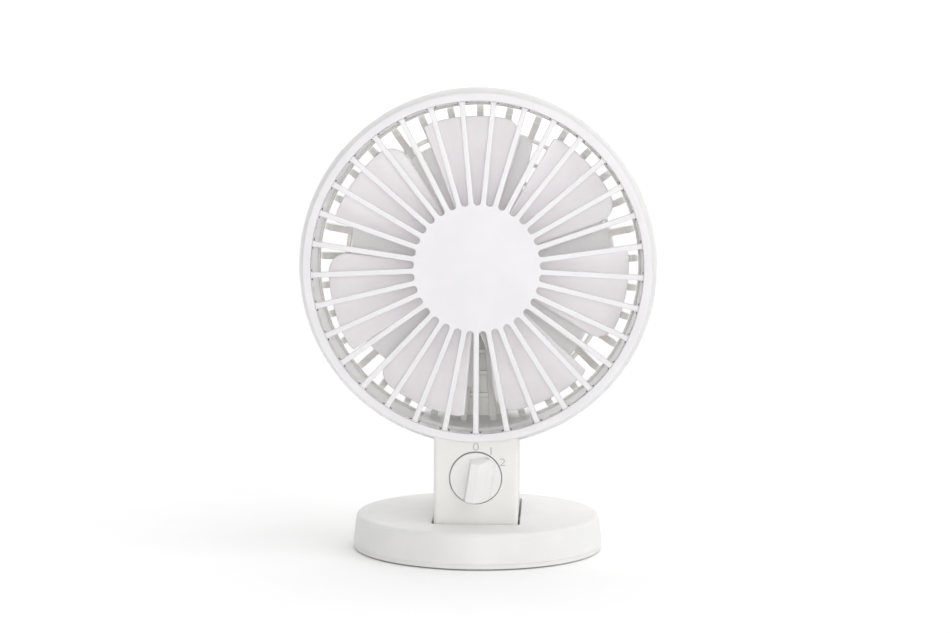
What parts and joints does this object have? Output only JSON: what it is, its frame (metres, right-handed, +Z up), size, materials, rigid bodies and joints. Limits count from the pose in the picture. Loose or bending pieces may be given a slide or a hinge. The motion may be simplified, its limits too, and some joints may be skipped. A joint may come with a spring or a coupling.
{
  "type": "desk fan",
  "caption": "Small white tilting desk fan with counter-turning impellers behind a radial-spoke guard, a wedge-grip speed knob on the stem and a round weighted base.",
  "frame": {"origin": "middle of the base's underside, on the surface the fan stands on", "axes": "+Z up, -Y is the front, where the air leaves; +X is to the right seen from the front"},
  "size_m": [0.151, 0.108, 0.1987],
  "materials": {
    "shell_white": "satin moulded plastic",
    "grille_white": "satin moulded plastic",
    "base_white": "satin moulded plastic",
    "knob_white": "satin moulded plastic",
    "blade_white": "thin satin plastic, slightly translucent",
    "foot_rubber": "soft matt rubber",
    "weight_steel": "rough cut steel",
    "bracket_steel": "zinc plated sheet",
    "screw_steel": "zinc plated",
    "pin_steel": "ground steel",
    "clip_steel": "dark spring steel",
    "washer_plastic": "low-friction plastic",
    "socket_metal": "plated sheet",
    "socket_insert": "moulded insulator",
    "board_green": "solder resist",
    "switch_black": "moulded switch body",
    "shaft_plastic": "moulded shaft",
    "can_steel": "plated drawn can",
    "cap_plastic": "moulded end cap",
    "bush_brass": "sintered bronze",
    "contact_copper": "copper strip",
    "magnet_dark": "sintered magnet",
    "core_steel": "stacked sheet",
    "coil_copper": "enamelled wire",
    "gear_plastic": "moulded gear plastic",
    "pinion_brass": "cut brass",
    "lead_red": "insulated lead"
  },
  "bodies": {
    "base": {"base_cover": "base_white", "base_plate": "base_white", "rubber_feet": "foot_rubber", "base_screws": "screw_steel", "base_weights": "weight_steel", "weight_screws": "screw_steel", "pivot_bracket": "bracket_steel", "bracket_screws": "screw_steel", "tilt_pin": "pin_steel", "pin_clip": "clip_steel", "power_inlet": "socket_metal", "inlet_tongue": "socket_insert", "inlet_board": "board_green"},
    "head": {"friction_washers": "washer_plastic", "stem_front": "shell_white", "stem_rear": "shell_white", "stem_screws": "screw_steel", "circuit_board": "board_green", "board_screws": "screw_steel", "rotary_switch": "switch_black", "front_grille": "grille_white", "drum_ring": "shell_white", "rear_guard": "shell_white", "rear_cover": "shell_white", "cover_screws": "screw_steel", "motor_can": "can_steel", "motor_end_cap": "cap_plastic", "motor_bushes": "bush_brass", "motor_brushes": "contact_copper", "motor_magnets": "magnet_dark", "motor_screws": "screw_steel", "gear_plate": "gear_plastic", "planet_pins": "pin_steel", "motor_leads": "lead_red"},
    "speed_knob": {"knob": "knob_white", "switch_shaft": "shaft_plastic"},
    "front_fan": {"front_impeller": "blade_white", "motor_shaft": "pin_steel", "rotor_core": "core_steel", "rotor_windings": "coil_copper", "commutator": "contact_copper", "sun_pinion": "pinion_brass"},
    "rear_fan": {"rear_impeller": "blade_white", "ring_gear": "gear_plastic", "impeller_bush": "bush_brass"},
    "planet_1": {"planet_gear_1": "gear_plastic"},
    "planet_2": {"planet_gear_2": "gear_plastic"},
    "planet_3": {"planet_gear_3": "gear_plastic"}
  },
  "joints": [
    {"name": "tilt", "type": "hinge", "parent": "base", "child": "head", "pos_m": [0, 0.002, 0.009], "axis": [-1, 0, 0], "range_deg": [0, 15]},
    {"name": "knob_turn", "type": "hinge", "parent": "head", "child": "speed_knob", "pos_m": [0, -0.03, 0.0348], "axis": [0, 1, 0], "range_deg": [-9, 51]},
    {"name": "front_spin", "type": "hinge", "parent": "head", "child": "front_fan", "pos_m": [0, -0.0332, 0.1232], "axis": [0, 1, 0], "continuous": true},
    {"name": "rear_spin", "type": "hinge", "parent": "head", "child": "rear_fan", "pos_m": [0, -0.0332, 0.1232], "axis": [0, 1, 0], "continuous": true},
    {"name": "planet_1_spin", "type": "hinge", "parent": "head", "child": "planet_1", "pos_m": [0, -0.0332, 0.134], "axis": [0, 1, 0], "continuous": true},
    {"name": "planet_2_spin", "type": "hinge", "parent": "head", "child": "planet_2", "pos_m": [0.00935, -0.0332, 0.1178], "axis": [0, 1, 0], "continuous": true},
    {"name": "planet_3_spin", "type": "hinge", "parent": "head", "child": "planet_3", "pos_m": [-0.00935, -0.0332, 0.1178], "axis": [0, 1, 0], "continuous": true}
  ],
  "couplings": [
    {"joint": "rear_spin", "follows": "front_spin", "ratio": -0.5},
    {"joint": "planet_1_spin", "follows": "front_spin", "ratio": -2},
    {"joint": "planet_2_spin", "follows": "front_spin", "ratio": -2},
    {"joint": "planet_3_spin", "follows": "front_spin", "ratio": -2}
  ]
}
